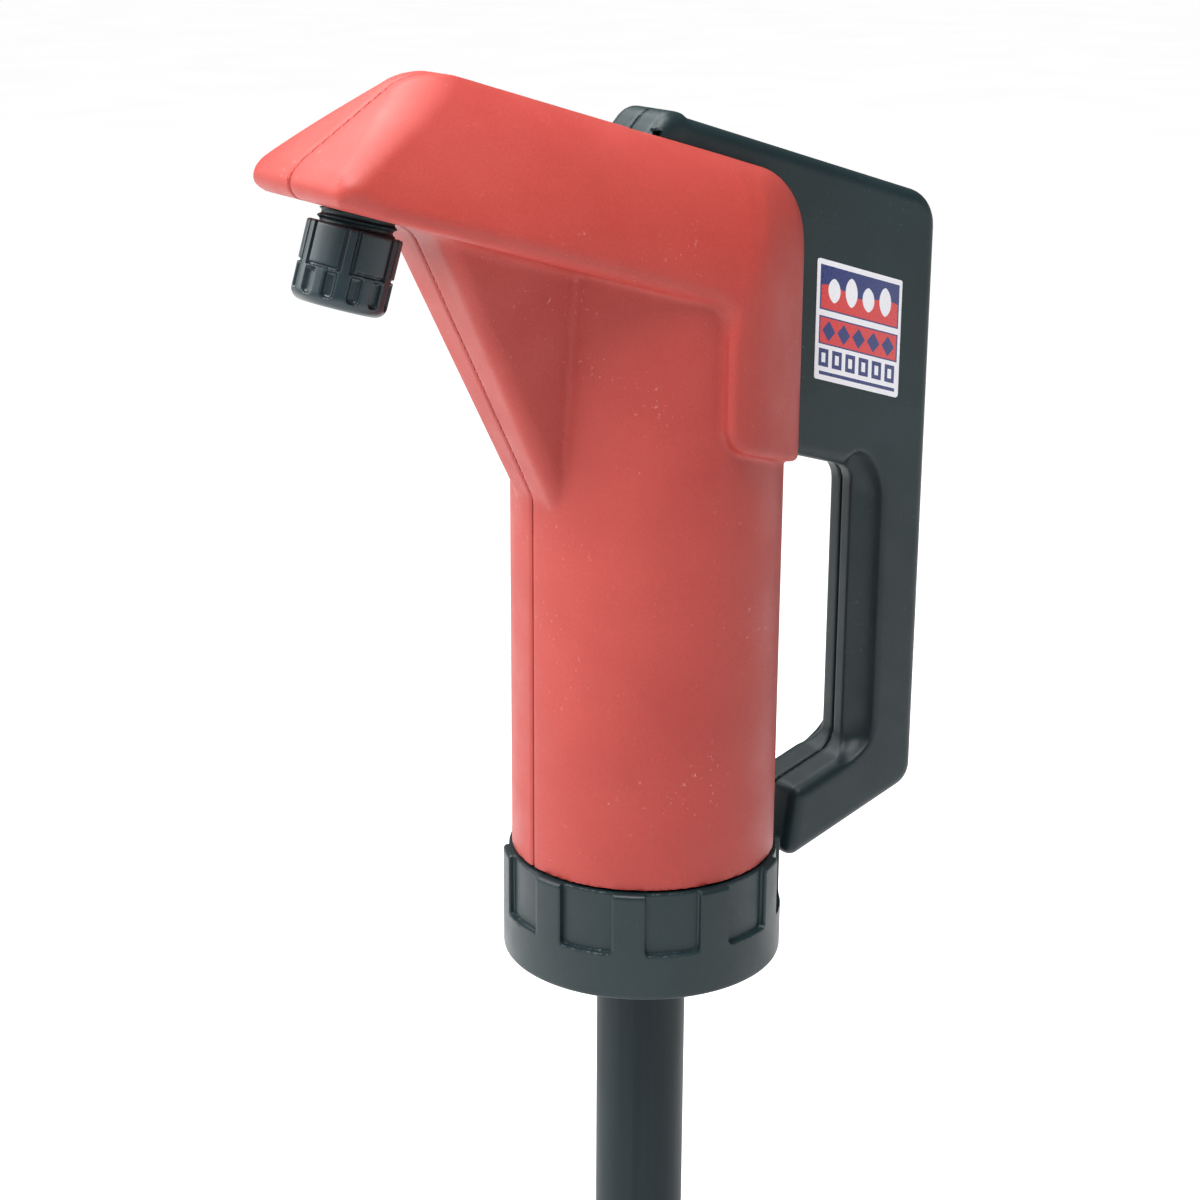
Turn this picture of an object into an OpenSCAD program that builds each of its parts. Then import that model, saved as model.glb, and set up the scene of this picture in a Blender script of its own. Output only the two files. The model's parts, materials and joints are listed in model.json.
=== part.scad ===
// Lever-action drum pump: a two-part red housing on a barrel, a looped lever handle,
// a castellated drum nut, a tilted screw outlet and a telescopic suction tube.
// Millimetres. Z is the barrel axis, the spout points to -X, the handle to +X.
// The origin is the centre of the drum nut's lower face.

/* [Column] */
// Outer radius of the round column
column_r = 46; // [45:0.5:47]
// Wall thickness of the housing shells
wall = 3; // [2.5:0.25:3.5]
// Height of the column's lower end above the nut's lower face
column_z0 = 39; // [39:0.2:41]

/* [Head] */
// Angle of the head, the skirt edge and the outlet from the horizontal
tilt = 17; // [15:0.5:18]
// Height of the ridge over the barrel axis
ridge_z = 283.5; // [281:0.5:286]
// Height of the head's underside over the barrel axis
under_z = 234; // [232:0.5:236]
// Half width of the head at the barrel
head_half_w = 50.6; // [49.6:0.2:51.6]
// Half width of the head at the nose
nose_half_w = 31; // [30:0.5:36]
// Half width of the flat along the crown
crown_flat = 16; // [15.5:0.5:18]
// Distance from the barrel axis to the corner between ridge and nose
peak_x = 88; // [84:0.5:92]
// Angle of the nose face from the horizontal
nose_angle = 33.8; // [31:0.2:36]

/* [Lever handle] */
// Half thickness of the handle
handle_half_t = 13.8; // [13:0.2:14.2]
// Distance from the barrel axis to the outer edge of the handle
handle_x = 114; // [110:1:118]
// Distance from the barrel axis to the inner face of the grip
grip_x = 85.4; // [83:0.2:88]
// Distance of the pivot behind the barrel axis
pivot_x = 36; // [35:0.5:37]
// Height of the pivot
pivot_z = 250; // [249:0.5:251]
// Radius of the pivot pin
pivot_r = 5; // [4:0.25:5.5]

/* [Pump] */
// Radius of the cylinder bore
bore_r = 37.5; // [36:0.5:38]
// Wall thickness of the cylinder
cyl_wall = 3; // [2.5:0.25:3]
// Radius of the piston rod
rod_r = 6; // [5:0.25:6]
// Height of the pin that joins the rod to the lever, handle down
rod_pin_z = 272; // [271:0.5:273]
// Lift of the two rubber valve discs
valve_lift = 3; // [2:0.5:4]

/* [Drum nut] */
// Outer radius of the drum nut
nut_r = 49.1; // [48.6:0.1:50]
// Height of the drum nut
nut_h = 38.3; // [37:0.1:38.5]
// Number of finger pockets round the nut
nut_pockets = 10; // [6:1:12]

/* [Outlet] */
// Distance of the outlet axis from the barrel axis, along the tilted head
outlet_u = 112.4; // [108:0.2:114]
// Outer radius of the outlet thread
outlet_r = 12.2; // [11.8:0.1:12.3]
// Radius of the outlet bore
outlet_bore_r = 8.8; // [8.6:0.1:9.2]
// Outer radius of the hose nut
hose_nut_r = 14.8; // [14.6:0.1:15.6]
// Length of the hose nut
hose_nut_h = 24.5; // [24:0.5:26]

/* [Suction tube] */
// Outer radius of the upper tube
tube_r = 15.8; // [15.6:0.1:16]
// Length of each tube
tube_len = 330; // [280:10:360]
// Wall thickness of each tube
tube_wall = 2; // [1.8:0.1:2.2]

/* [Hidden] */
$fn = 64;
eps = 0.5;
far = 400;
slope = tan(tilt);
red = "#c8554e";
black = "#333d3f";
rubber = "#1f2224";
steel = "#b9bcc0";

// housing
peak_z = ridge_z + peak_x * slope;
nose_drop = tan(nose_angle);
nose_x = (peak_z - nose_drop * -peak_x - under_z) / (-slope - nose_drop);
nose_z = under_z - nose_x * slope;
peak_round = 20;
nose_round = 5.8;
rear_round = 18;
head_h = (ridge_z - under_z) * cos(tilt);
nose_u = nose_x / cos(tilt);
yaw = asin((head_half_w - nose_half_w) / nose_u);
crown_a = head_half_w * cos(yaw) - crown_flat;
slot_half = handle_half_t + 1.2;
slot_x0 = -18.5;
slot_z = 214;
skirt_x = -3.5;
skirt_z = 188.6;
skirt_front_z = skirt_z - skirt_x * slope;
locator_r = bore_r + cyl_wall + 0.1;
locator_z = [46, 118, 168];
locator_t = 3;
boss_y = slot_half + 0.2;
pivot_boss_r = 9;
screw_boss_r = 5;
pan_r = 4.2;
pan_h = 3;
pin_half = 27.5;
screw_at = [[-50, 286], [-84, 290]];
screw_head_y = 17;
screw_reach = 13;
column_screw_az = 8;
column_screw_z = [62, 150];
strut_front = [[-92.5, 268], [-44, 167]];
strut_front_half = [18, 13.8];
strut_rear_x = -36;
strut_rear_z = [262, 160];
strut_rear_half = [20.3, 13.5];

// lever
lever_top0 = 292.3;
front_x = -11;
rear_corner_r = 14;
panel_bottom0 = 189.5;
panel_front_x = 48;
arm_slope = 0.34;
arm_top0 = 28;
arm_bottom0 = 2.1;
arm_end_x = 54;
arm_len = norm([pivot_x, rod_pin_z - pivot_z]);
arm_angle = atan2(rod_pin_z - pivot_z, -pivot_x);
fork_half = 7;
pin_r = 3.5;
pin_slot_r = pin_r + 1.2;
lever_wall = 3;
handle_screw_at = [[101, 243], [101, 150], [101, 60], [70, 34], [62, 225]];
bush_r = 8;
label_x = [60, 98.3];
label_top0 = 259.6;
label_foot0 = 218.1;

// pump
cyl_r = bore_r + cyl_wall;
cyl_z0 = 24;
cyl_z1 = 178;
flange_r = 42.5;
head_top_z = 196;
duct_dir = [-0.431, 0, 0.903];
duct_start = [-30, 0, 187];
duct_r = 8;
duct_bore = 6.3;
duct_len1 = 84;
duct_bend = duct_start + duct_dir * duct_len1;
duct_socket_wall = 2.4;
hose_nut_top = -4.3;
hose_nut_foot = hose_nut_top - hose_nut_h;
hose_washer_w = hose_nut_foot + 4;
hose_washer_t = 3;
spout_end = hose_washer_w + hose_washer_t + 0.3;
spout_flange_w = 3.2;
spout_flange_t = 2.8;
spout_flange_r = 16;
thread_turns = 6;
thread_pitch = 3;
hose_lobes = 8;
run_u = 110;
run_w = 18;
run_end = [-run_u * cos(tilt) + run_w * sin(tilt), 0, under_z + run_u * sin(tilt) + run_w * cos(tilt)];
duct_flange_w = 7.5;
chamber_h = 8.5;
seat_top_z = 27;
valve_r = 20;
piston_z = 89;
piston_t = 14;
gland_z = 203;
gland_r = 10;
gland_recess = 3;
seal_t = 1.5;
rod_fit = 0.05;
stud_r = 4;
port_r = 12;
cage_r = 29.9;

// drum nut and tubes
nut_thread_r = 43.3;
nut_lip_r = 41.2;
lip_z = 33.4;
gasket_z = 12;
pocket_z = 16.5;
pocket_floor_r = 47.1;
slide_gap = 0.05;
middle_r = tube_r - tube_wall - slide_gap;
lower_r = middle_r - tube_wall - slide_gap;
tube_top = 14;
show_step = 12;

function unit(v) = v / norm(v);

// Arc of radius r that replaces corner b between a and c
function corner_arc(a, b, c, r, n = 6) =
    let (u = unit(a - b), w = unit(c - b), half = acos(u * w) / 2)
    let (p = b + u * r / tan(half), q = b + w * r / tan(half))
    let (m = b + unit(u + w) * r / sin(half))
    let (a0 = atan2(p.y - m.y, p.x - m.x), a1 = atan2(q.y - m.y, q.x - m.x))
    let (turn = (a1 - a0 + 540) % 360 - 180)
    [for (i = [0 : n]) m + r * [cos(a0 + turn * i / n), sin(a0 + turn * i / n)]];

// Outline through [x, z, corner radius] points
function rounded(pts) =
    let (n = len(pts))
    [for (i = [0 : n - 1])
        let (a = pts[(i + n - 1) % n], b = pts[i], c = pts[(i + 1) % n])
        each (b[2] > 0 ? corner_arc([a.x, a.y], [b.x, b.y], [c.x, c.y], b[2]) : [[b.x, b.y]])];

// Extrudes an x-z outline between y0 and y1
module slab(y0, y1) {
    translate([0, y1, 0])
        rotate([90, 0, 0])
            linear_extrude(y1 - y0)
                children();
}

// A rod along Y
module y_rod(x, z, r, y0, y1) {
    translate([x, y1, z])
        rotate([90, 0, 0])
            cylinder(r = r, h = y1 - y0);
}

// Ring about Z
module ring(r_out, r_in, z0, z1) {
    translate([0, 0, z0])
        difference() {
            cylinder(r = r_out, h = z1 - z0);
            translate([0, 0, -eps])
                cylinder(r = r_in, h = z1 - z0 + 2 * eps);
        }
}

// Moves children from the tilted head frame: origin where the barrel axis meets the underside
module tilted() {
    translate([0, 0, under_z])
        rotate([0, tilt, 0])
            children();
}

// A straight pipe from p along unit direction d
module pipe_along(p, d, r, len) {
    translate(p)
        rotate([0, atan2(d.x, d.z), 0])
            cylinder(r = r, h = len);
}

// ---------- housing ----------

module head_side_outline() {
    polygon(rounded([
        [nose_x, nose_z, nose_round],
        [-peak_x, peak_z, peak_round],
        [head_half_w, ridge_z - head_half_w * slope, rear_round],
        [head_half_w, under_z - head_half_w * slope, 0]
    ]));
}

// Crowned cross-section, seen along the ridge, t inside the outer skin
module head_section(t) {
    a = crown_a - t;
    h = head_h - t;
    polygon(concat(
        [[4, t], [-(crown_flat + a), t]],
        [for (i = [1 : 9]) [-crown_flat - a * cos(i * 9), h * sin(i * 9)]],
        [[-crown_flat, h], [4, h]]
    ));
}

// Near half of the head, t inside the outer skin
module head_half(t) {
    intersection() {
        slab(-60, 0)
            offset(delta = -t)
                head_side_outline();
        tilted()
            rotate([0, 0, yaw])
                translate([-far / 2, 0, 0])
                    rotate([90, 0, 90])
                        linear_extrude(far)
                            head_section(t);
        union() {
            translate([-far, -60, 100])
                cube([far, 60, 300]);
            translate([0, 0, 100])
                cylinder(r = head_half_w - t, h = 300);
        }
    }
}

// Near half of the strut under the spout, t inside the outer skin
module strut_half(t) {
    top = strut_front[0];
    foot = strut_front[1];
    x = strut_rear_x;
    polyhedron(
        points = [
            [top.x + t, 0, top.y], [top.x + t, t - strut_front_half[0], top.y],
            [foot.x + t, 0, foot.y + t], [foot.x + t, t - strut_front_half[1], foot.y + t],
            [x, 0, strut_rear_z[0]], [x, t - strut_rear_half[0], strut_rear_z[0]],
            [x, 0, strut_rear_z[1] + t], [x, t - strut_rear_half[1], strut_rear_z[1] + t]
        ],
        faces = [
            [0, 1, 3], [0, 3, 2], [4, 6, 7], [4, 7, 5], [0, 4, 5], [0, 5, 1],
            [2, 3, 7], [2, 7, 6], [1, 5, 7], [1, 7, 3], [0, 2, 6], [0, 6, 4]
        ]
    );
}

module near_half_space() {
    translate([-far / 2, -far, -far / 2])
        cube([far, far, 2 * far]);
}

// Proud skirt that wraps the rear of the column
module skirt_half() {
    intersection() {
        ring(head_half_w, column_r - 0.2, 160, 260);
        slab(-60, 0)
            polygon(rounded([
                [skirt_x, skirt_front_z, 7],
                [skirt_x, 250, 0],
                [60, 250, 0],
                [60, skirt_z - 60 * slope, 0]
            ]));
    }
}

// Space that the lever swings in
module lever_slot() {
    slab(-slot_half, eps)
        polygon([[slot_x0, far], [slot_x0, slot_z], [80, slot_z], [80, far]]);
    difference() {
        slab(-slot_half, eps)
            polygon([[20, 150], [20, slot_z + eps], [80, slot_z + eps], [80, 150]]);
        cylinder(r = column_r + 0.3, h = far);
    }
}

module outlet_hole(r) {
    tilted()
        translate([-outlet_u, 0, -10])
            cylinder(r = r, h = 22);
}

// Near shell, without its bores
module shell_body() {
    difference() {
        union() {
            head_half(0);
            strut_half(0);
            skirt_half();
            intersection() {
                translate([0, 0, column_z0])
                    cylinder(r = column_r, h = under_z + 17 - column_z0);
                near_half_space();
            }
        }
        head_half(wall);
        strut_half(wall);
        translate([0, 0, column_z0 - eps])
            cylinder(r = column_r - wall, h = under_z + 18 - column_z0);
        lever_slot();
        outlet_hole(outlet_r + 0.1);
    }
}

// Bosses and locating ribs inside the near shell
module shell_inner_features() {
    intersection() {
        union() {
            y_rod(pivot_x, pivot_z, pivot_boss_r, -40, -boss_y);
            for (s = screw_at)
                y_rod(s.x, s.y, screw_boss_r, -head_half_w, 0);
        }
        head_half(1);
    }
    for (z = locator_z)
        intersection() {
            ring(column_r - wall + 0.2, locator_r, z, z + locator_t);
            near_half_space();
        }
}

module shell_half() {
    difference() {
        union() {
            shell_body();
            shell_inner_features();
        }
        y_rod(pivot_x, pivot_z, pivot_r, -pin_half, 0);
        for (s = screw_at)
            y_rod(s.x, s.y, 1.7, -screw_reach - 2, 1);
        column_screw_holes();
    }
}

module column_screw_holes() {
    for (z = column_screw_z)
        rotate([0, 0, -column_screw_az])
            translate([column_r - 8, 0, z])
                rotate([0, 90, 0])
                    cylinder(r = 2.1, h = 12);
}

module shell_near() {
    color(red)
        shell_half();
}

module shell_far() {
    color(red)
        difference() {
            mirror([0, 1, 0])
                shell_half();
            for (s = screw_at) {
                y_rod(s.x, s.y, 2.1, -1, 60);
                y_rod(s.x, s.y, pan_r + 0.4, screw_head_y, 60);
            }
        }
}

// Pan-head screw: shank of length len from the origin down -Z, head above
module screw(len, r, head_r, head_h) {
    translate([0, 0, -len])
        cylinder(r = r, h = len + eps);
    difference() {
        cylinder(r = head_r, h = head_h);
        for (a = [0, 90])
            rotate([0, 0, a])
                translate([-head_r * 0.6, -0.5, head_h - 1])
                    cube([head_r * 1.2, 1, 2]);
    }
}

module shell_screws() {
    color(steel)
        for (s = screw_at)
            translate([s.x, screw_head_y, s.y])
                rotate([-90, 0, 0])
                    screw(screw_head_y + screw_reach, 1.68, pan_r, pan_h);
}

module column_screws() {
    color(steel)
        for (side = [-1, 1])
            for (z = column_screw_z)
                rotate([0, 0, side * column_screw_az])
                    translate([column_r + 0.1, 0, z])
                        rotate([0, 90, 0])
                            screw(7.4, 1.9, 3.8, 2.2);
}

// ---------- pump ----------

module pump_cylinder() {
    color(black)
        difference() {
            union() {
                ring(cyl_r, bore_r, cyl_z0, cyl_z1);
                ring(flange_r, cyl_r - 0.2, cyl_z0, cyl_z0 + 8);
            }
            for (side = [-1, 1])
                for (z = column_screw_z)
                    rotate([0, 0, side * column_screw_az])
                        translate([bore_r + 0.8, 0, z])
                            rotate([0, 90, 0])
                                cylinder(r = 1.9, h = 10);
        }
}

module cylinder_head() {
    color(black)
        difference() {
            union() {
                ring(cyl_r, gland_r, cyl_z1, head_top_z);
                cylinder_head_spigot();
                intersection() {
                    pipe_along(duct_start, duct_dir, duct_r + duct_socket_wall, 24);
                    translate([-60, -20, 180])
                        cube([60, 40, 26]);
                }
            }
            translate([0, 0, cyl_z1 - 6])
                cylinder(r = bore_r - 3, h = 18);
            translate([0, 0, cyl_z1])
                cylinder(r = rod_r + rod_fit, h = 60);
            translate([0, 0, head_top_z - gland_recess])
                cylinder(r = gland_r + rod_fit, h = 10);
            pipe_along(duct_start, duct_dir, duct_r + 0.02, 40);
        }
}

module cylinder_head_spigot() {
    ring(bore_r - 0.05, bore_r - 3.2, cyl_z1 - 5, cyl_z1 + eps);
    ring(12, rod_r + rod_fit, cyl_z1 + 11, head_top_z);
}

module cylinder_head_seal() {
    color(rubber)
        rotate_extrude()
            translate([bore_r - 4.2, cyl_z1 + 1.5])
                circle(r = 1);
}

module gland_nut() {
    color(black)
        difference() {
            union() {
                ring(gland_r, rod_r + rod_fit, head_top_z - gland_recess + seal_t, head_top_z + 1);
                translate([0, 0, head_top_z + 0.2])
                    cylinder(r = 13, h = gland_z - head_top_z - 0.2, $fn = 6);
            }
            translate([0, 0, head_top_z - 2])
                cylinder(r = rod_r + rod_fit, h = 20);
        }
}

module gland_seal() {
    color(rubber)
        ring(gland_r, rod_r + 0.04, head_top_z - gland_recess, head_top_z - gland_recess + seal_t);
}

module foot_valve_seat() {
    color(black)
        difference() {
            union() {
                translate([0, 0, gasket_z + 4])
                    cylinder(r = flange_r - 0.1, h = cyl_z0 - gasket_z - 4);
                ring(bore_r - 0.05, cage_r + 0.1, cyl_z0 - eps, seat_top_z);
                translate([0, 0, 2])
                    cylinder(r = 20, h = 20);
                ring(port_r + 2.5, port_r, cyl_z0 - eps, seat_top_z);
            }
            translate([0, 0, -10])
                cylinder(r = tube_r, h = tube_top + 10);
            cylinder(r = port_r, h = 40);
        }
}

module foot_valve_disc() {
    color(rubber)
        translate([0, 0, seat_top_z])
            cylinder(r = valve_r, h = 2);
}

module foot_valve_cage() {
    top = seat_top_z + 2 + valve_lift + 0.5;
    color(black) {
        ring(cage_r, 26, cyl_z0, top + 2);
        for (a = [0, 60, 120])
            rotate([0, 0, a])
                translate([-27, -2, top])
                    cube([54, 4, 2]);
    }
}

module piston_rod() {
    color(steel)
        union() {
            translate([0, 0, piston_z - 8])
                cylinder(r = stud_r, h = 12);
            translate([0, 0, piston_z + 3])
                cylinder(r = rod_r, h = rod_pin_z - 26 - piston_z - 3);
            translate([0, 0, rod_pin_z - 27])
                cylinder(r = stud_r, h = 15);
        }
}

module rod_eye() {
    color(steel)
        difference() {
            union() {
                translate([0, 0, rod_pin_z - 26])
                    cylinder(r = rod_r, h = 20);
                y_rod(0, rod_pin_z, 9, -fork_half + 0.5, fork_half - 0.5);
            }
            translate([0, 0, rod_pin_z - 30])
                cylinder(r = stud_r, h = 18);
            y_rod(0, rod_pin_z, pin_r, -10, 10);
        }
}

module lever_pin() {
    color(steel)
        y_rod(0, rod_pin_z, pin_r, -12.2, 12.2);
}

module piston_body() {
    color(black)
        difference() {
            union() {
                translate([0, 0, piston_z])
                    cylinder(r = bore_r - 0.4, h = 3);
                translate([0, 0, piston_z])
                    cylinder(r = 34, h = piston_t);
            }
            translate([0, 0, piston_z - 1])
                cylinder(r = stud_r, h = 5);
            translate([0, 0, piston_z + 3])
                cylinder(r = 28, h = piston_t);
            for (a = [0 : 60 : 300])
                rotate([0, 0, a])
                    translate([17, 0, piston_z - 1])
                        cylinder(r = 5, h = 6);
        }
}

module piston_seal() {
    color(rubber)
        ring(bore_r - 0.05, 34, piston_z + 3, piston_z + 9);
}

module piston_valve_disc() {
    color(rubber)
        ring(25, rod_r + 0.3, piston_z + 3.05, piston_z + 5.2);
}

module piston_nut() {
    color(steel)
        difference() {
            translate([0, 0, piston_z - 6])
                cylinder(r = 7.5, h = 6, $fn = 6);
            translate([0, 0, piston_z - 7])
                cylinder(r = stud_r, h = 8);
        }
}

module outlet_duct() {
    color(black)
        difference() {
            union() {
                pipe_along(duct_start, duct_dir, duct_r, duct_len1);
                duct_run(duct_r, 0.8);
                tilted()
                    translate([-outlet_u, 0, duct_flange_w])
                        cylinder(r = 12, h = chamber_h);
            }
            pipe_along(duct_start - duct_dir, duct_dir, duct_bore, duct_len1 + 1);
            duct_run(duct_bore, 0.5);
            tilted()
                translate([-outlet_u, 0, 0]) {
                    cylinder(r = 16.3, h = duct_flange_w);
                    cylinder(r = 8.6, h = duct_flange_w + chamber_h - 1);
                }
        }
}

// Run inside the head, from the bend to the chamber over the outlet, with knuckles swollen by more
module duct_run(r, more) {
    run = run_end - duct_bend;
    pipe_along(duct_bend, unit(run), r, norm(run));
    for (p = [duct_bend, run_end])
        translate(p)
            sphere(r = r + more);
}

// Moves children to the outlet axis in the tilted head frame
module on_outlet() {
    tilted()
        translate([-outlet_u, 0, 0])
            children();
}

module outlet_spout() {
    root = outlet_r - 1;
    color(black)
        on_outlet()
            difference() {
                union() {
                    translate([0, 0, spout_flange_w])
                        cylinder(r = spout_flange_r, h = spout_flange_t);
                    translate([0, 0, spout_end])
                        cylinder(r = root, h = spout_flange_w + eps - spout_end);
                    for (i = [0 : thread_turns - 1])
                        translate([0, 0, spout_end + 1 + i * thread_pitch])
                            rotate_extrude()
                                polygon([[root - 1, 0], [root + 0.1, 0], [outlet_r, 0.7], [outlet_r, 1.3],
                                         [root + 0.1, 2], [root - 1, 2]]);
                }
                translate([0, 0, spout_end - 1])
                    cylinder(r = outlet_bore_r, h = 40);
            }
}

module outlet_seal() {
    color(rubber)
        on_outlet()
            ring(13, outlet_bore_r + 0.3, spout_flange_w + spout_flange_t, duct_flange_w);
}

module hose_nut() {
    pitch = 360 / hose_lobes;
    skin = hose_nut_r - 1;
    lobe_h = hose_nut_h * 0.45;
    bore = outlet_r + 0.3;
    mouth = outlet_bore_r + 0.5;
    color(black)
        on_outlet() {
            rotate_extrude()
                polygon([[mouth, hose_nut_foot], [skin - 2.5, hose_nut_foot], [skin, hose_nut_foot + 2.5],
                         [skin, hose_nut_top], [bore, hose_nut_top], [bore, hose_washer_w],
                         [mouth, hose_washer_w]]);
            for (i = [0 : hose_lobes - 1]) {
                rotate([0, 0, i * pitch + 5])
                    rotate_extrude(angle = 35)
                        translate([skin - 0.6, hose_nut_top - lobe_h - 1])
                            square([1.3, lobe_h]);
                rotate([0, 0, i * pitch - 2.5])
                    rotate_extrude(angle = 5)
                        translate([skin - 0.6, hose_washer_w])
                            square([1.6, hose_nut_h - 5.5]);
            }
        }
}

module hose_washer() {
    color(rubber)
        on_outlet()
            ring(outlet_r, outlet_bore_r + 0.5, hose_washer_w, hose_washer_w + hose_washer_t);
}

// ---------- drum nut and suction tube ----------

module drum_nut() {
    pitch = 360 / nut_pockets;
    pocket = pitch * 0.625;
    color(black)
        difference() {
            union() {
                ring(nut_r - 1.2, nut_lip_r, lip_z, nut_h);
                ring(nut_r, nut_thread_r, 1.5, nut_h - 1.2);
                ring(nut_r - 1, nut_thread_r, 0, 2);
                for (i = [0 : 2])
                    translate([0, 0, 2 + i * 3])
                        rotate_extrude()
                            polygon([[nut_thread_r + 0.4, 0], [nut_thread_r + 0.1, 0],
                                     [nut_thread_r - 0.5, 0.6], [nut_thread_r - 0.5, 1.2],
                                     [nut_thread_r + 0.1, 1.8], [nut_thread_r + 0.4, 1.8]]);
            }
            for (i = [0 : nut_pockets - 1])
                rotate([0, 0, i * pitch - pocket / 2])
                    rotate_extrude(angle = pocket)
                        translate([pocket_floor_r, pocket_z])
                            square([8, 40]);
        }
}

module drum_gasket() {
    color(rubber)
        ring(flange_r - 0.1, 20.2, gasket_z, gasket_z + 4);
}

// A tube that hangs from z_top, with four notches in its lower end
module tube(r, z_top, notched) {
    difference() {
        ring(r, r - tube_wall, z_top - tube_len, z_top);
        if (notched)
            for (a = [0, 90])
                rotate([0, 0, a])
                    translate([-20, -4, z_top - tube_len - eps])
                        cube([40, 8, 8]);
    }
}

module suction_tube_upper() {
    color(black)
        tube(tube_r, tube_top, false);
}

module suction_tube_middle() {
    color(black)
        tube(middle_r, tube_top - show_step, false);
}

module suction_tube_lower() {
    color(black)
        tube(lower_r, tube_top - 2 * show_step - 10, true);
}

// Friction collar that grips the next tube down
module tube_collar(r_out, r_in, z) {
    difference() {
        union() {
            ring(r_out + 2.4, r_out, z, z + 16);
            ring(r_out + 2.4, r_in + slide_gap, z - 3, z);
        }
        for (a = [0 : 45 : 315])
            rotate([0, 0, a])
                translate([r_out + 3.6, 0, z - 4])
                    cylinder(r = 2, h = 30);
    }
}

module tube_collar_upper() {
    color(black)
        tube_collar(tube_r, middle_r, tube_top - tube_len);
}

module tube_collar_middle() {
    color(black)
        tube_collar(middle_r, lower_r, tube_top - show_step - tube_len - 8);
}

// ---------- lever handle ----------

module lever_outline() {
    polygon(rounded([
        [front_x, lever_top0 - front_x * slope, 10],
        [handle_x, lever_top0 - handle_x * slope, rear_corner_r],
        [handle_x, arm_bottom0 + handle_x * arm_slope, 9],
        [arm_end_x, arm_bottom0 + arm_end_x * arm_slope, 4],
        [arm_end_x + 4.5, arm_top0 + (arm_end_x + 4.5) * arm_slope, 4],
        [grip_x, arm_top0 + grip_x * arm_slope, 9],
        [grip_x, panel_bottom0 - grip_x * slope, 8],
        [panel_front_x, panel_bottom0 - panel_front_x * slope, 3],
        [panel_front_x, 222, 4],
        [28, 236, 12],
        [6, 259, 8],
        [front_x, 263, 9]
    ]));
}

// Gap between the fork's cheeks, where the rod eye works
module fork_outline() {
    polygon([[-40, 200], [-40, 274], [front_x - 1, 274], [-8, 284], [21, 276], [21, 200]]);
}

// Near half of the handle
module handle_half() {
    slot_dir = [cos(arm_angle), sin(arm_angle)];
    difference() {
        slab(-handle_half_t, 0)
            lever_outline();
        difference() {
            slab(-handle_half_t + lever_wall, eps)
                offset(delta = -lever_wall)
                    lever_outline();
            y_rod(pivot_x, pivot_z, bush_r + 4, -far, far);
            for (s = handle_screw_at)
                y_rod(s.x, s.y, 4.5, -far, far);
            slab(-handle_half_t, eps)
                polygon([[-30, 230], [-30, 310], [23, 310], [23, 230]]);
        }
        slab(-fork_half, eps)
            fork_outline();
        y_rod(pivot_x, pivot_z, bush_r, -far, far);
        hull()
            for (d = [arm_len - 8.2, arm_len + 1])
                y_rod(pivot_x + d * slot_dir.x, pivot_z + d * slot_dir.y, pin_slot_r, -12.6, 0, $fn = 24);
        for (s = handle_screw_at)
            y_rod(s.x, s.y, 1.5, -10, 1);
    }
}

module handle_near() {
    color(black)
        handle_half();
}

module handle_far() {
    color(black)
        difference() {
            mirror([0, 1, 0])
                handle_half();
            for (s = handle_screw_at) {
                y_rod(s.x, s.y, 1.8, -1, 20);
                y_rod(s.x, s.y, 4, handle_half_t - 3, 20);
            }
        }
}

module handle_screws() {
    color(steel)
        for (s = handle_screw_at)
            translate([s.x, handle_half_t - 3, s.y])
                rotate([-90, 0, 0])
                    screw(20, 1.48, 3.6, 2.4);
}

module handle_label() {
    color("white")
        slab(-handle_half_t - 0.3, -handle_half_t)
            polygon(rounded([
                label_corner(0, label_top0), label_corner(1, label_top0),
                label_corner(1, label_foot0), label_corner(0, label_foot0)
            ]));
}

// Corner of the label, on a line parallel to the lever's top that crosses the barrel axis at z0
function label_corner(i, z0) = [label_x[i], z0 - label_x[i] * slope, 1];

module pivot_pin() {
    color(steel)
        y_rod(pivot_x, pivot_z, pivot_r, -pin_half + 0.5, pin_half - 0.5);
}

module pivot_bush_half() {
    difference() {
        y_rod(pivot_x, pivot_z, bush_r, -handle_half_t - 0.6, -1);
        y_rod(pivot_x, pivot_z, pivot_r + 0.05, -30, 5);
    }
}

module pivot_bush_near() {
    color(rubber)
        pivot_bush_half();
}

module pivot_bush_far() {
    color(rubber)
        mirror([0, 1, 0])
            pivot_bush_half();
}

shell_near();
shell_far();
shell_screws();
column_screws();
pump_cylinder();
cylinder_head();
cylinder_head_seal();
gland_nut();
gland_seal();
foot_valve_seat();
foot_valve_disc();
foot_valve_cage();
drum_nut();
drum_gasket();
suction_tube_upper();
suction_tube_middle();
suction_tube_lower();
tube_collar_upper();
tube_collar_middle();
outlet_duct();
outlet_spout();
outlet_seal();
hose_nut();
hose_washer();
handle_near();
handle_far();
handle_screws();
handle_label();
pivot_pin();
pivot_bush_near();
pivot_bush_far();
piston_rod();
rod_eye();
lever_pin();
piston_body();
piston_seal();
piston_valve_disc();
piston_nut();
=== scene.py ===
"""Hand drum pump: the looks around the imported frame.

Blender works in metres. The moulded pieces are shaped as distance fields in millimetres, in the
frame's own axes (spout to -X, handle to +X, near side -Y), and meshed here by surface nets.
"""
import json
import math

import bpy
import numpy as np
from mathutils import Matrix, Vector


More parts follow.
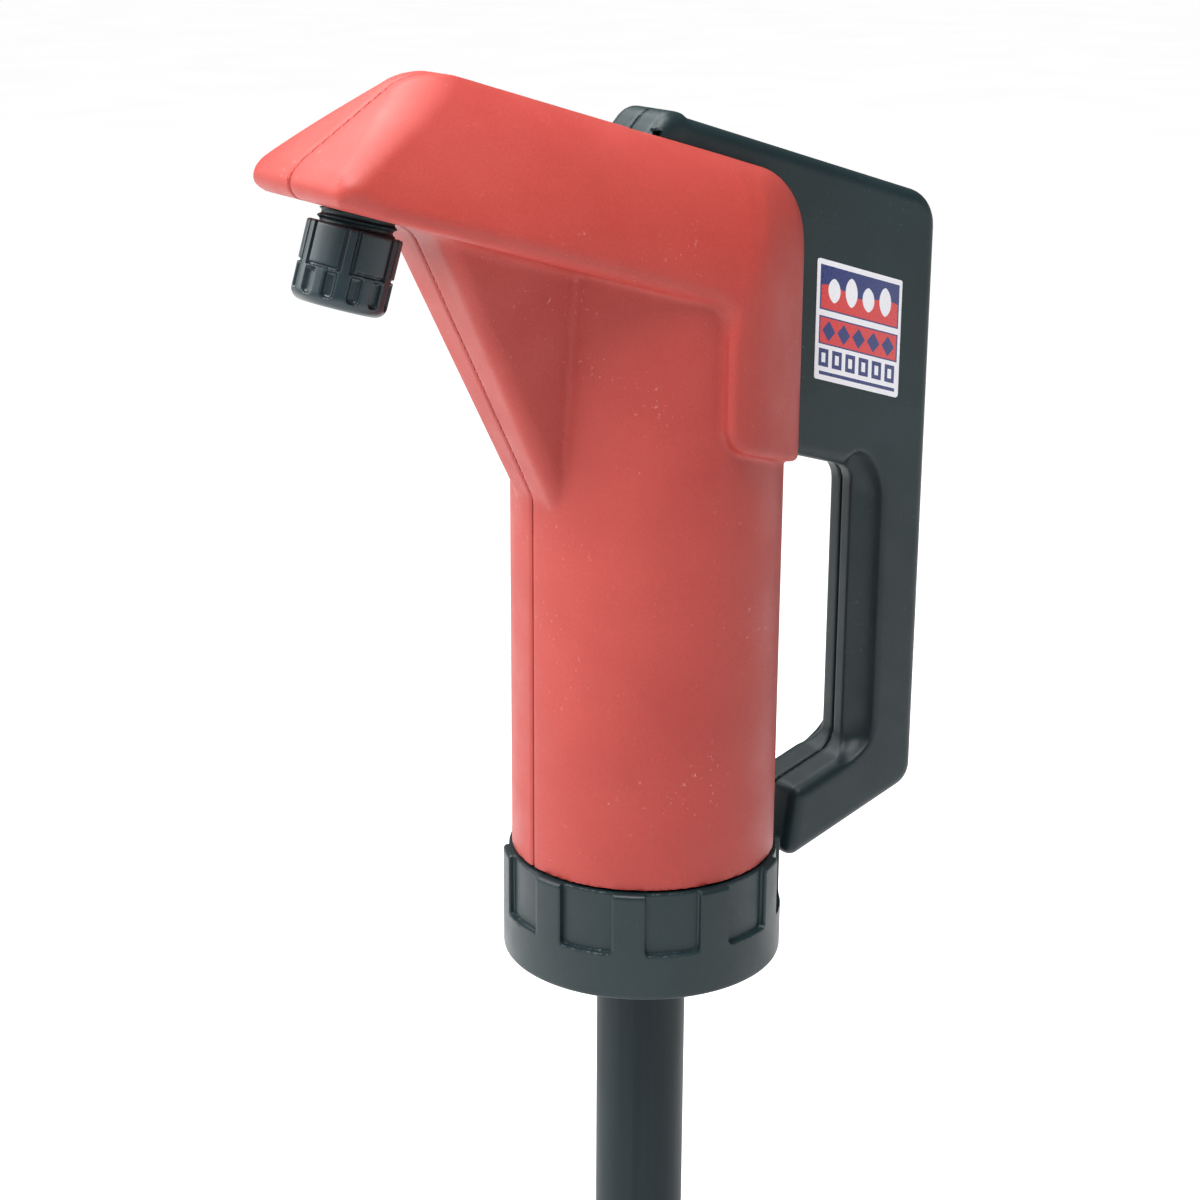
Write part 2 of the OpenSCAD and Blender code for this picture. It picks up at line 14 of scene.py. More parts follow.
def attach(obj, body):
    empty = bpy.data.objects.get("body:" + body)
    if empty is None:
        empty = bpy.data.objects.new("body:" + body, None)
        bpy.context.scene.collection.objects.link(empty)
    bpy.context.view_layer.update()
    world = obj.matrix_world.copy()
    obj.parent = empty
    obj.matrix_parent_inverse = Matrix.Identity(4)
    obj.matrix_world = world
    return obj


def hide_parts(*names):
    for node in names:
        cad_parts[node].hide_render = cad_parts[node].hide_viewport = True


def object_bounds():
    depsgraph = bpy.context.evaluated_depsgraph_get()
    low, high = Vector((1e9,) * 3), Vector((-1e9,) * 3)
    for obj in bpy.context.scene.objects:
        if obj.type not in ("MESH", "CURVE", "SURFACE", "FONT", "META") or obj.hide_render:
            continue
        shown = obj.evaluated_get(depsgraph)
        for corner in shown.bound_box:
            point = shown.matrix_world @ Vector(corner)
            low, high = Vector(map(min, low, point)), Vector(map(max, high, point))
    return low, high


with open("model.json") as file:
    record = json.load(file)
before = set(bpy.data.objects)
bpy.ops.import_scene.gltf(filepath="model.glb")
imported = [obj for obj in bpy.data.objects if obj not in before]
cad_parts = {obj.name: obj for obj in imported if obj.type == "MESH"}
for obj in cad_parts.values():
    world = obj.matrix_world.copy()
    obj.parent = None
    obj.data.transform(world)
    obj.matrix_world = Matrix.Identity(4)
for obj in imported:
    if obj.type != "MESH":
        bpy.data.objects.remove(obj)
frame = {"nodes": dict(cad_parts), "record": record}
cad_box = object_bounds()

MM = 0.001

# Housing, millimetres
TILT = math.radians(17)
COS, SIN, SLOPE = math.cos(TILT), math.sin(TILT), math.tan(TILT)
COLUMN_R = 46.0
COLUMN_Z0 = 39.0
WALL = 3.0
RIDGE_Z = 283.5
UNDER_Z = 234.0
HEAD_H = (RIDGE_Z - UNDER_Z) * COS
HEAD_HALF = 50.6
NOSE_HALF = 31.0
NOSE_TIP = (-138.7, 276.4)
NOSE_ANGLE = math.radians(33.8)
NOSE_BOW = 0.0021
HEAD_TAPER = 145.0
CROWN_FORWARD = (20.0, 120.0)
CROWN_REACH, CROWN_REACH_LESS = 34.6, 5.1
CROWN_POWER, CROWN_POWER_LESS = 2.0, 0.75
HEAD_EDGE, NOSE_EDGE_MORE, SKIRT_EDGE_LESS = 6.0, 6.0, 3.2
SKIRT_X = -3.5
SKIRT_DROP = 45.4
STRUT_HALF, STRUT_FLARE_X, STRUT_FLARE_Z = 4.57, 0.048, 0.0667
STRUT_FRONT = (-92.5, 268.0)
STRUT_NORMAL = (0.9015, 0.4329)
STRUT_EDGE = 4.5
SLOT_HALF = 15.0
SLOT_X0 = -18.5
SLOT_Z = 214.0
PIVOT = (36.0, 250.0)
PIVOT_BORE_R = 5.2
PIVOT_BOSS_R, PIVOT_BOSS_FOOT = 9.0, 15.2
BOSS_REACH = 46.0
PIN_HALF = 27.5
PART_GAP = 0.3
SHELL_SCREWS = ((-50.0, 286.0), (-84.0, 290.0))
SHELL_SCREW_Y = 17.0
SCREW_BORE_R, SCREW_HEAD_BORE_R, SCREW_BOSS_R = 2.1, 4.6, 5.0
SCREW_BORE_FAR, SCREW_BORE_NEAR = 18.0, 15.0
COLUMN_SCREW_AZ = math.radians(8)
COLUMN_SCREW_Z = (62.0, 150.0)
COLUMN_SCREW_IN = 38.0

# Lever handle, millimetres
LEVER_HALF = 13.8
LEVER_WALL = 3.0
LEVER_EDGE = 4.6
LEVER_TOP0 = 292.3
LEVER_FRONT = -11.0
HANDLE_X = 114.0
GRIP_X = 85.4
GRIP_TOP0 = 189.5
ARM_SLOPE = 0.34
ARM_COS = 0.947
ARM_TOP0, ARM_FOOT0 = 28.0, 2.1
KNUCKLE_END = 6.0
KNUCKLE_RAISE, KNUCKLE_DEPTH, KNUCKLE_INSET = 0.9, 12.0, 0.4
LEVER_HOLE = (-6.2, 285.6)
LEVER_HOLE_R, LEVER_HOLE_FLOOR = 1.3, 9.5
FORK_HALF = 7.0
HANDLE_BOSS_R = 4.5
HANDLE_HEAD_BORE_R, HANDLE_BORE_R = 4.0, 1.8
HANDLE_SCREWS = ((101.0, 243.0), (101.0, 150.0), (101.0, 60.0), (70.0, 34.0), (62.0, 225.0))
ROD_PIN_Z = 272.0
PIN_SLOT_R, PIN_SLOT_FLOOR = 4.7, 12.6
PIN_SLOT_BACK, PIN_SLOT_ON = 8.2, 1.0
LABEL_X = (60.0, 98.3)
LABEL_TOP0, LABEL_FOOT0 = 259.6, 218.1
LABEL_THICK = 0.28
BUSH_R = 8.0

# Drum nut, outlet and tubes, millimetres
NUT_R = 49.1
NUT_H = 38.3
NUT_EDGE = 1.3
NUT_BORE_R, NUT_COLLAR_R, NUT_COLLAR_Z = 43.3, 41.2, 33.4
NUT_THREAD_PITCH, NUT_THREAD_DEPTH, NUT_THREAD_Z0 = 3.0, 0.55, 2.9
NUT_POCKETS = 10
POCKET_SHARE = 0.3125
POCKET_Z = 16.5
POCKET_FLOOR_R = 47.1
POCKET_TURN = math.radians(-4.8)
OUTLET_U = -112.4
THREAD_R = 12.2
THREAD_PITCH = 2.6
SPOUT_END = -21.5
SPOUT_TOP = 4.0
FLANGE_R = 15.8
FLANGE_Z = (3.2, 6.0)
OUTLET_BORE_R = 8.8
HOSE_NUT_R = 14.8
HOSE_NUT_TOP = -4.3
HOSE_NUT_H = 24.5
HOSE_LOBES = 6
HOSE_LEDGE = 0.48
HOSE_RIB_HALF = 1.9
HOSE_GROOVE_HALF, HOSE_GROOVE_DEPTH = 0.55, 1.0
HOSE_BAND_HALF, HOSE_BAND_DEPTH = 0.45, 0.8
HOSE_SCOOP_R, HOSE_SCOOP_HALF, HOSE_SCOOP_DEPTH = 1.5, 0.4, 1.6
HOSE_SCOOP_AT, HOSE_SCOOP_FOOT = 0.52, 4.2
TUBE_WALL = 2.0
TUBES = {"suction_tube_upper": (15.8, 14.0), "suction_tube_middle": (13.75, 2.0),
         "suction_tube_lower": (11.7, -20.0)}
TUBE_LENGTH = 330.0
TUBE_SIDES, TUBE_STEPS = 128, 44
TUBE_EASE = 0.5
NOTCH_DEPTH, NOTCH_HALF, NOTCH_EASE = 7.5, 3.2, 0.8
SEAM_ANGLE, SEAM_DEPTH, SEAM_HALF = math.radians(232), 0.12, 0.8
COLLAR_WALL = 2.4
COLLAR_BELOW, COLLAR_ABOVE = 3.0, 16.0
COLLARS = {"tube_collar_upper": (15.8, 13.8, -316.0),
           "tube_collar_middle": (13.75, 11.75, -336.0)}

# Stage: angles in degrees, lengths in metres, power in watts
CAMERA_PLACE = (-0.4608, -0.6437, 0.3749)
CAMERA_HEADING, CAMERA_DOWN, CAMERA_ROLL = (math.radians(a) for a in (55.52, 17.404, 0.31))
CAMERA_SENSOR, CAMERA_LENS = 36, 72.73
FLOOR_SIZE = 60.0
FLOOR_GLOW = (0.35, 1.0, 0.3, 1.05)
WORLD_STRENGTH = 0.18
LIGHT_TARGET = Vector((0, 0, 0.17))
# name, azimuth, elevation, distance, size, power
LIGHTS = (("key_light", 214, 68, 1.6, 0.9, 40),
          ("side_light", 178, 30, 1.6, 0.9, 6),
          ("back_light", 100, 60, 1.5, 1.0, 20),
          ("rim_light", 140, 28, 1.6, 1.2, 22))


# ---------- distance fields: negative inside, sizes in millimetres ----------

def round_max(a, b, r):
    """Intersection whose outer edge has radius r"""
    corner = np.hypot(np.maximum(a + r, 0), np.maximum(b + r, 0))
    return np.minimum(-r, np.maximum(a, b)) + corner


def round_min(a, b, r):
    """Union whose inner corner has radius r"""
    return -round_max(-a, -b, r)


def smooth_step(x, start, end):
    t = np.clip((x - start) / (end - start), 0, 1)
    return t * t * (3 - 2 * t)


def y_rod(x, y, z, at, r, y0, y1):
    """A rod of radius r along Y through the point at of the X-Z plane"""
    return np.maximum(np.hypot(x - at[0], z - at[1]) - r, np.maximum(y0 - y, y - y1))


def radial_rod(x, y, z, azimuth, height, r, reach):
    """A rod that leaves the barrel axis at the height, beyond the radius reach"""
    along = x * math.cos(azimuth) + y * math.sin(azimuth)
    across = -x * math.sin(azimuth) + y * math.cos(azimuth)
    return np.maximum(np.hypot(across, z - height) - r, reach - along)


def tilted_frame(x, z):
    """Along the tilted head, and up from its underside"""
    u = x * COS - (z - UNDER_Z) * SIN
    w = x * SIN + (z - UNDER_Z) * COS
    return u, w


def arc_corner(a, b, c, r, steps=7):
    """Arc of radius r that replaces corner b between a and c"""
    a, b, c = (np.array(p, float) for p in (a, b, c))
    to_a, to_c = (a - b) / np.linalg.norm(a - b), (c - b) / np.linalg.norm(c - b)
    half = math.acos(float(to_a @ to_c)) / 2
    middle = (to_a + to_c) / np.linalg.norm(to_a + to_c)
    centre = b + middle * r / math.sin(half)
    start = b + to_a * r / math.tan(half) - centre
    end = b + to_c * r / math.tan(half) - centre
    a0 = math.atan2(start[1], start[0])
    turn = (math.atan2(end[1], end[0]) - a0 + math.pi) % (2 * math.pi) - math.pi
    angles = a0 + turn * np.arange(steps + 1) / steps
    return [tuple(centre + r * np.array((math.cos(t), math.sin(t)))) for t in angles]


def rounded_outline(corners):
    """Closed outline through (x, z, radius) corners"""
    points = []
    for i, (x, z, r) in enumerate(corners):
        before, after = corners[i - 1][:2], corners[(i + 1) % len(corners)][:2]
        points += arc_corner(before, (x, z), after, r) if r else [(x, z)]
    return points


def outline_field(points, x, z):
    """Signed distance to a closed outline in the X-Z plane"""
    x, z = np.broadcast_arrays(x, z)
    nearest = np.full(x.shape, np.inf)
    inside = np.zeros(x.shape, bool)
    for i, (x1, z1) in enumerate(points):
        x0, z0 = points[i - 1]
        dx, dz = x1 - x0, z1 - z0
        t = np.clip(((x - x0) * dx + (z - z0) * dz) / (dx * dx + dz * dz), 0, 1)
        nearest = np.minimum(nearest, (x - x0 - t * dx) ** 2 + (z - z0 - t * dz) ** 2)
        if dz:
            crosses = (z0 > z) != (z1 > z)
            inside ^= crosses & (x < x0 + (z - z0) * dx / dz)
    return np.where(inside, -1, 1) * np.sqrt(nearest)


def surface_nets(values, low, step):
    """Points and outward quads of the zero level of values sampled from the corner low"""
    inside = values < 0
    shape = np.array(values.shape) - 1
    corners = sum(inside[i:i + shape[0], j:j + shape[1], k:k + shape[2]].astype(np.int8)
                  for i in (0, 1) for j in (0, 1) for k in (0, 1))
    active = (corners > 0) & (corners < 8)
    cells = np.argwhere(active)
    index = np.full(active.shape, -1)
    index[active] = np.arange(len(cells))
    total, hits = np.zeros(cells.shape), np.zeros(len(cells))
    for axis in range(3):
        along = np.eye(3, dtype=int)[axis]
        others = [np.eye(3, dtype=int)[i] for i in range(3) if i != axis]
        for a in (0, 1):
            for b in (0, 1):
                start = cells + a * others[0] + b * others[1]
                v0 = values[tuple(start.T)]
                v1 = values[tuple((start + along).T)]
                cut = (v0 < 0) != (v1 < 0)
                t = v0[cut] / (v0[cut] - v1[cut])
                total[cut] += start[cut] + t[:, None] * along
                hits[cut] += 1
    quads = []
    for axis in range(3):
        along = np.eye(3, dtype=int)[axis]
        p, q = (np.eye(3, dtype=int)[(axis + i) % 3] for i in (1, 2))
        first = np.moveaxis(inside, axis, 0)[:-1]
        second = np.moveaxis(inside, axis, 0)[1:]
        edges = np.argwhere(np.moveaxis(first != second, 0, axis))
        edges = edges[((edges @ p) > 0) & ((edges @ q) > 0)]
        edges = edges[((edges @ p) < shape @ p) & ((edges @ q) < shape @ q)]
        around = [index[tuple((edges - i * p - j * q).T)]
                  for i, j in ((0, 0), (1, 0), (1, 1), (0, 1))]
        quad = np.stack(around, 1)
        outward = inside[tuple(edges.T)]
        quad[~outward] = quad[~outward][:, ::-1]
        quads.append(quad)
    return low + step * total / hits[:, None], np.concatenate(quads)


def settle(field, points, step):
    """Moves mesh points onto the field's zero level"""
    probe, rounds, gentle = 0.05, 2, 0.25
    for _ in range(rounds):
        here = field(*points.T)
        rises = [field(*(points + probe * axis).T) - here for axis in np.eye(3)]
        slope = np.stack(rises, 1) / probe
        size = np.maximum((slope ** 2).sum(1), gentle)
        move = -(here / size)[:, None] * slope
        length = np.linalg.norm(move, axis=1, keepdims=True)
        points = points + move * np.minimum(1, 0.4 * step / np.maximum(length, 1e-9))
    return points


def field_points(field, low, high, step):
    """Mesh points and quads of a field inside the box from low to high"""
    axes = [np.arange(a - 1.5 * step, b + 2.5 * step, step) for a, b in zip(low, high)]
    x, y, z = np.meshgrid(*axes, indexing="ij", sparse=True)
    values = np.broadcast_to(field(x, y, z), tuple(len(a) for a in axes)).copy()
    points, quads = surface_nets(values, np.array([a[0] for a in axes]), step)
    return settle(field, points, step), quads


def add_mesh(name, points, faces, sharp=40):
    """A new object from points in millimetres"""
    mesh = bpy.data.meshes.new(name)
    corners = [tuple(int(i) for i in face) for face in faces]
    mesh.from_pydata((np.asarray(points) * MM).tolist(), [], corners)
    mesh.validate()
    mesh.shade_smooth()
    mesh.set_sharp_from_angle(angle=math.radians(sharp))
    piece = bpy.data.objects.new(name, mesh)
    bpy.context.scene.collection.objects.link(piece)
    return piece


def field_piece(name, field, low, high, step, sharp=40):
    points, quads = field_points(field, low, high, step)
    return add_mesh(name, points, quads, sharp)


def settle_in(piece, body, slot, material, *nodes):
    """Rides the piece on its body in place of CAD nodes, with its material; the slot is not used
    """
    piece.data.materials.clear()
    piece.data.materials.append(material)
    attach(piece, body)
    if nodes:
        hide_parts(*nodes)
    return piece


# ---------- housing ----------

def crown(x, y, z):
    """Upper skin of the head: a crowned section that narrows and leans more towards the nose"""
    u, w = tilted_frame(x, z)
    forward = smooth_step(-u, *CROWN_FORWARD)
    half = HEAD_HALF + np.minimum(u, 0) * (HEAD_HALF - NOSE_HALF) / HEAD_TAPER
    reach = CROWN_REACH - CROWN_REACH_LESS * forward
    power = CROWN_POWER - CROWN_POWER_LESS * forward
    across = np.maximum(np.abs(y) - (half - reach), 0) / reach
    up = np.maximum(w, 0) / HEAD_H
    total = across ** power + up ** power
    ratio = np.maximum(total, 1e-6) ** (1 / power)
    steep = ratio ** (1 - power)
    slope_side = steep * np.maximum(across, 1e-6) ** (power - 1) / reach
    slope_up = steep * np.maximum(up, 1e-6) ** (power - 1) / HEAD_H
    skin = (ratio - 1) / np.maximum(np.hypot(slope_side, slope_up), 0.012)
    radius = np.hypot(np.maximum(x, 0), y)
    rearward = np.maximum(x, 0) / np.maximum(radius, 1e-6)
    back_edge = 0.02 + 14 * smooth_step(rearward, 0.05, 0.65)
    return round_max(skin, radius - HEAD_HALF, back_edge)


def nose_face(x, y, z):
    """The slanting face at the front, slightly bowed from side to side"""
    ahead, above = x - NOSE_TIP[0], z - NOSE_TIP[1]
    lean = above * math.cos(NOSE_ANGLE) - ahead * math.sin(NOSE_ANGLE)
    return lean + NOSE_BOW * y * y


def head_envelope(x, y, z):
    edge = 5 + 4 * smooth_step(z, 280, 305)
    return round_max(crown(x, y, z), nose_face(x, y, z), edge)


def lower_limit(x, z):
    """Side-view edge along the head's underside and round the skirt"""
    w = tilted_frame(x, z)[1]
    skirt = round_max((SKIRT_X - x) * np.ones_like(z), -(w + SKIRT_DROP * COS), 7)
    return round_min(-w, skirt, 6)


def lower_edge(u, w):
    """Radius of the head's lower edge: large at the nose, small round the skirt"""
    nose, skirt = smooth_step(-u, 118, 140), smooth_step(-w, 0, 12)
    return HEAD_EDGE + NOSE_EDGE_MORE * nose - SKIRT_EDGE_LESS * skirt


def strut_plain(x, y, z):
    """Wedge under the head, wide at the column and narrow in front"""
    side = np.abs(y) - STRUT_HALF - STRUT_FLARE_X * x - STRUT_FLARE_Z * z
    front = (STRUT_FRONT[0] - x) * STRUT_NORMAL[0] + (STRUT_FRONT[1] - z) * STRUT_NORMAL[1]
    w = tilted_frame(x, z)[1]
    return np.maximum(round_max(side, front, STRUT_EDGE), np.maximum(x + 22, w - 14))


def housing_skin(x, y, z):
    """Outer surface of both shells together"""
    u, w = tilted_frame(x, z)
    edge = lower_edge(u, w)
    head = round_max(head_envelope(x, y, z), lower_limit(x, z), edge)
    radius = np.hypot(x, y)
    column = round_max(radius - COLUMN_R, np.maximum(COLUMN_Z0 - z, w - 12), 0.5)
    strut = strut_plain(x, y, z)
    return round_min(round_min(head, strut, 4), round_min(column, strut, 0.7), 1.5)


def housing_cavity(x, y, z):
    """Hollow inside both shells together"""
    u, w = tilted_frame(x, z)
    radius = np.hypot(x, y)
    head = round_max(head_envelope(x, y, z), -w, lower_edge(u, w)) + WALL
    column = np.maximum(radius - COLUMN_R, w - 12) + WALL
    strut = strut_plain(x, y, z) + WALL
    return np.minimum(np.minimum(head, column), strut)


def lever_slot(x, y, z):
    """Room for the lever: over the top of the head, and down behind the barrel"""
    outside = COLUMN_R + 0.3 - np.hypot(x, y)
    above = np.maximum(SLOT_X0 - x, SLOT_Z - z)
    behind = np.maximum(np.maximum(20 - x, outside), np.maximum(z - SLOT_Z - 1, 150 - z))
    return np.maximum(np.abs(y) - SLOT_HALF, np.minimum(above, behind))


def shell_field(side):
    """One shell: side is -1 for the near one, 1 for the far one"""
    def field(x, y, z):
        u, w = tilted_frame(x, z)
        shell = np.maximum(housing_skin(x, y, z), -housing_cavity(x, y, z))
        inner = head_envelope(x, y, z) + 1
        out = y * side
        boss = y_rod(x, out, z, PIVOT, PIVOT_BOSS_R, PIVOT_BOSS_FOOT, BOSS_REACH)
        for at in SHELL_SCREWS:
            boss = np.minimum(boss, y_rod(x, out, z, at, SCREW_BOSS_R, 0, BOSS_REACH))
        shell = np.minimum(shell, np.maximum(boss, inner))
        shell = round_max(shell, -lever_slot(x, y, z), 1.0)
        bores = y_rod(x, out, z, PIVOT, PIVOT_BORE_R, -1, PIN_HALF)
        depth = SCREW_BORE_FAR if side > 0 else SCREW_BORE_NEAR
        for at in SHELL_SCREWS:
            if side > 0:
                head = y_rod(x, out, z, at, SCREW_HEAD_BORE_R, SHELL_SCREW_Y, 70)
                bores = np.minimum(bores, head)
            bores = np.minimum(bores, y_rod(x, out, z, at, SCREW_BORE_R, -1, depth))
        azimuth = side * COLUMN_SCREW_AZ
        for height in COLUMN_SCREW_Z:
            screw = radial_rod(x, y, z, azimuth, height, SCREW_BORE_R, COLUMN_SCREW_IN)
            bores = np.minimum(bores, screw)
        spout = np.maximum(np.hypot(u - OUTLET_U, y) - THREAD_R - 0.3, w - 12)
        shell = np.maximum(shell, -np.minimum(bores, spout))
        return round_max(shell, PART_GAP - out, 0.9)
    return field


def make_shells(material):
    step = 1.2
    for side, name in ((-1, "shell_near"), (1, "shell_far")):
        low = (-142, -51 if side < 0 else 0, COLUMN_Z0)
        high = (51, 0 if side < 0 else 51, 309)
        shell = field_piece(name + "_moulding", shell_field(side), low, high, step)
        settle_in(shell, "housing", "red_plastic", material, name)


# ---------- lever handle ----------

def lever_line(x, z0, slope=-SLOPE):
    """Height at x of a straight edge that starts at z0 over the barrel axis"""
    return z0 + x * slope


LEVER_OUTLINE = rounded_outline([
    (LEVER_FRONT, lever_line(LEVER_FRONT, LEVER_TOP0), 12),
    (HANDLE_X, lever_line(HANDLE_X, LEVER_TOP0), 14),
    (HANDLE_X, lever_line(HANDLE_X, ARM_FOOT0, ARM_SLOPE), 9),
    (54, lever_line(54, ARM_FOOT0, ARM_SLOPE), 4),
    (58.5, lever_line(58.5, ARM_TOP0, ARM_SLOPE), 4),
    (GRIP_X, lever_line(GRIP_X, ARM_TOP0, ARM_SLOPE), 9),
    (GRIP_X, lever_line(GRIP_X, GRIP_TOP0), 8),
    (48, lever_line(48, GRIP_TOP0), 3),
    (48, 222, 4),
    (28, 236, 12),
    (6, 259, 8),
    (LEVER_FRONT, 263, 9),
])
FORK_OUTLINE = [(-40, 200), (-40, 274), (LEVER_FRONT - 1, 274),
                (-8, 284), (21, 276), (21, 200)]


def finger_opening(x, z):
    """Side-view distance from the opening of the grip"""
    top = (z - lever_line(x, GRIP_TOP0)) * COS
    foot = (lever_line(x, ARM_TOP0, ARM_SLOPE) - z) * ARM_COS
    return round_max(round_max(top, foot, 8), x - GRIP_X, 9)


def lever_skin(x, y, z, edge):
    """Outer surface of both handle halves, from the outline's own distance"""
    out = np.abs(y)
    plain = round_max(edge, out - LEVER_HALF, LEVER_EDGE)
    along_grip = smooth_step(z, 44, 62) * (1 - smooth_step(z, 168, 182))
    inward = smooth_step(x, 70, 84) * along_grip
    scoop = 10.5 * inward - np.hypot(finger_opening(x, z) + 1.5, out - LEVER_HALF - 2.6)
    plain = round_max(plain, scoop, 1.2)
    raise_top = (z - lever_line(x, LEVER_TOP0 + KNUCKLE_RAISE)) * COS
    below = lever_line(x, LEVER_TOP0 - KNUCKLE_DEPTH) - z
    depth = round_max(LEVER_FRONT + 5 - x, below, 2)
    knuckle = round_max(round_max(raise_top, x - KNUCKLE_END, 2.0), depth, 9)
    knuckle = round_max(knuckle, out - LEVER_HALF + KNUCKLE_INSET, 4.0)
    return round_min(plain, knuckle, 1.5)


def handle_field(side):
    """One handle half: side is -1 for the near one, 1 for the far one"""
    def field(x, y, z):
        edge = outline_field(LEVER_OUTLINE, x, z)
        out = y * side
        skin = lever_skin(x, y, z, edge)
        bosses = np.hypot(x - PIVOT[0], z - PIVOT[1]) - BUSH_R - 4
        for at in HANDLE_SCREWS:
            bosses = np.minimum(bosses, np.hypot(x - at[0], z - at[1]) - HANDLE_BOSS_R)
        front = np.maximum(x - 23, 230 - z)
        hollow = np.maximum(skin + LEVER_WALL, -np.minimum(bosses, front))
        fork = np.maximum(outline_field(FORK_OUTLINE, x, z), np.abs(y) - FORK_HALF)
        cuts = np.minimum(hollow, fork)
        cuts = np.minimum(cuts, np.hypot(x - PIVOT[0], z - PIVOT[1]) - BUSH_R)
        cuts = np.minimum(cuts, pin_slot(x, out, z))
        for at in HANDLE_SCREWS:
            if side > 0:
                head = y_rod(x, out, z, at, HANDLE_HEAD_BORE_R, LEVER_HALF - 3, 20)
                cuts = np.minimum(cuts, head)
            cuts = np.minimum(cuts, y_rod(x, out, z, at, HANDLE_BORE_R, -1, 10))
        hole = y_rod(x, out, z, LEVER_HOLE, LEVER_HOLE_R, LEVER_HOLE_FLOOR, 20)
        cuts = np.minimum(cuts, hole)
        return round_max(np.maximum(skin, -cuts), PART_GAP - out, 0.7)
    return field


def pin_slot(x, out, z):
    """Blind slot in a fork cheek, along the line from the pivot to the rod pin"""
    start = np.array(PIVOT)
    along = np.array((0.0, ROD_PIN_Z)) - start
    length = np.linalg.norm(along)
    along = along / length
    t = (x - start[0]) * along[0] + (z - start[1]) * along[1]
    t = np.clip(t, length - PIN_SLOT_BACK, length + PIN_SLOT_ON)
    gap = np.hypot(x - start[0] - t * along[0], z - start[1] - t * along[1])
    return np.maximum(gap - PIN_SLOT_R, np.maximum(-1 - out, out - PIN_SLOT_FLOOR))


def make_handle(material):
    step = 1.0
    for side, name in ((-1, "handle_near"), (1, "handle_far")):
        low = (LEVER_FRONT, -LEVER_HALF if side < 0 else 0, 20)
        high = (HANDLE_X, 0 if side < 0 else LEVER_HALF, 298)
        half = field_piece(name + "_moulding", handle_field(side), low, high, step)
        settle_in(half, "handle", "black_plastic", material, name)


# ---------- label ----------

def make_label(material):
    """Thin printed plate on the near panel, in place of the maker's own"""
    shrink, ease, corner_r = 0.98, 0.12, 1.0
    (left, right), top, foot = LABEL_X, LABEL_TOP0, LABEL_FOOT0
    corners = [(x, lever_line(x, z0)) for x, z0 in
               ((left, top), (right, top), (right, foot), (left, foot))]
    outline = rounded_outline([(x, z, corner_r) for x, z in corners])
    middle = np.mean(corners, 0)
    inner = [tuple(middle + (np.array(p) - middle) * shrink) for p in outline]
    back, front = -LEVER_HALF, -LEVER_HALF - LABEL_THICK
    count = len(outline)
    points = [(x, back, z) for x, z in outline]
    points += [(x, front + ease, z) for x, z in outline]
    points += [(x, front, z) for x, z in inner]
    faces = [list(range(count))[::-1], [2 * count + i for i in range(count)]]
    for row in (0, count):
        for i in range(count):
            k = (i + 1) % count
            faces.append([row + i, row + k, row + count + k, row + count + i])
    label = add_mesh("handle_label_print", points, faces)
    settle_in(label, "handle", "label", material, "handle_label")


# ---------- drum nut ----------

def drum_nut_field(x, y, z):
    """Ring with open-topped pockets round it, threaded inside its foot"""
    radius = np.hypot(x, y)
    pitch = 2 * math.pi / NUT_POCKETS
    angle = (np.arctan2(y, x) - POCKET_TURN + pitch / 2) % pitch - pitch / 2
    ring = round_max(radius - NUT_R, np.maximum(-z, z - NUT_H), NUT_EDGE)
    half_pocket = POCKET_SHARE * pitch * POCKET_FLOOR_R
    wall = np.abs(angle) * POCKET_FLOOR_R - half_pocket
    pocket = round_max(round_max(wall, POCKET_Z - z, 1.5), POCKET_FLOOR_R - radius, 0.4)
    ring = round_max(ring, -pocket, 0.5)
    bore = np.where(z > NUT_COLLAR_Z, NUT_COLLAR_R, NUT_BORE_R)
    turns = (z - NUT_THREAD_Z0) / NUT_THREAD_PITCH
    thread = NUT_THREAD_DEPTH * np.clip(np.cos(turns * 2 * math.pi) + 0.3, 0, 1.3) / 1.3
    threaded = smooth_step(z, 1.5, 2.2) * (1 - smooth_step(z, 9.2, 10))
    return np.maximum(ring, bore - thread * threaded - radius)


def make_drum_nut(material):
    step = 0.7
    nut = field_piece("drum_nut_moulding", drum_nut_field, (-NUT_R, -NUT_R, 0),
                      (NUT_R, NUT_R, NUT_H), step, sharp=35)
    settle_in(nut, "drum_nut", "black_plastic", material, "drum_nut")


# ---------- outlet and hose nut, in the tilted frame about the outlet axis ----------

def from_outlet(points):
    """World points, millimetres, from points in the outlet's tilted frame"""
    x, y, z = np.asarray(points).T
    u = x + OUTLET_U
    return np.stack([u * COS + z * SIN, y, UNDER_Z - u * SIN + z * COS], 1)


